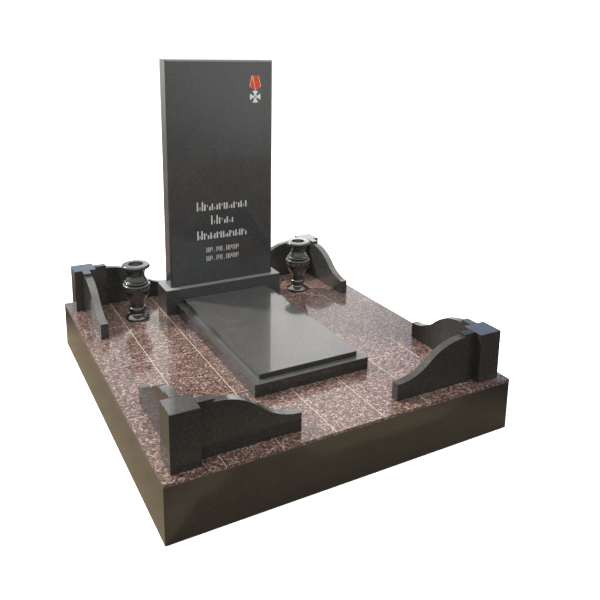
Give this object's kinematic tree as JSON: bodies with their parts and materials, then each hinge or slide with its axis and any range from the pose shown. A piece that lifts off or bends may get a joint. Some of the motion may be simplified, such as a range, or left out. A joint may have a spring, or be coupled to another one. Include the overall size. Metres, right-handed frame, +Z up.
{
  "type": "granite grave monument",
  "caption": "Polished black granite grave monument: upright stele on a stand, stepped ledger, turned vases and corner fences on a tiled plinth.",
  "frame": {"origin": "centre of the plinth's underside", "axes": "+Z up, -Y towards the front of the monument, +X to its right as seen from the front"},
  "size_m": [2.1, 2.4, 2.1109],
  "materials": {
    "black_granite": "polished",
    "red_granite": "polished",
    "grout": "matte"
  },
  "bodies": {
    "root": {"plinth_block": "black_granite", "stele_stand": "black_granite", "stele": "black_granite", "ledger_base": "black_granite", "ledger_cover": "black_granite", "vase_left": "black_granite", "vase_right": "black_granite", "corner_post_front_left": "black_granite", "corner_post_back_left": "black_granite", "corner_post_front_right": "black_granite", "corner_post_back_right": "black_granite", "fence_wing_front_left_x": "black_granite", "fence_wing_front_left_y": "black_granite", "fence_wing_back_left_x": "black_granite", "fence_wing_back_left_y": "black_granite", "fence_wing_front_right_x": "black_granite", "fence_wing_front_right_y": "black_granite", "fence_wing_back_right_x": "black_granite", "fence_wing_back_right_y": "black_granite", "paving_tile_1_1": "red_granite", "paving_tile_1_2": "red_granite", "paving_tile_1_3": "red_granite", "paving_tile_1_4": "red_granite", "paving_tile_1_5": "red_granite", "paving_tile_1_6": "red_granite", "paving_tile_1_7": "red_granite", "paving_tile_2_1": "red_granite", "paving_tile_2_2": "red_granite", "paving_tile_2_3": "red_granite", "paving_tile_2_4": "red_granite", "paving_tile_2_5": "red_granite", "paving_tile_2_6": "red_granite", "paving_tile_2_7": "red_granite", "paving_tile_3_1": "red_granite", "paving_tile_3_2": "red_granite", "paving_tile_3_3": "red_granite", "paving_tile_3_4": "red_granite", "paving_tile_3_5": "red_granite", "paving_tile_3_6": "red_granite", "paving_tile_3_7": "red_granite", "paving_tile_4_1": "red_granite", "paving_tile_4_2": "red_granite", "paving_tile_4_3": "red_granite", "paving_tile_4_4": "red_granite", "paving_tile_4_5": "red_granite", "paving_tile_4_6": "red_granite", "paving_tile_4_7": "red_granite", "joint_grout": "grout"}
  },
  "joints": []
}
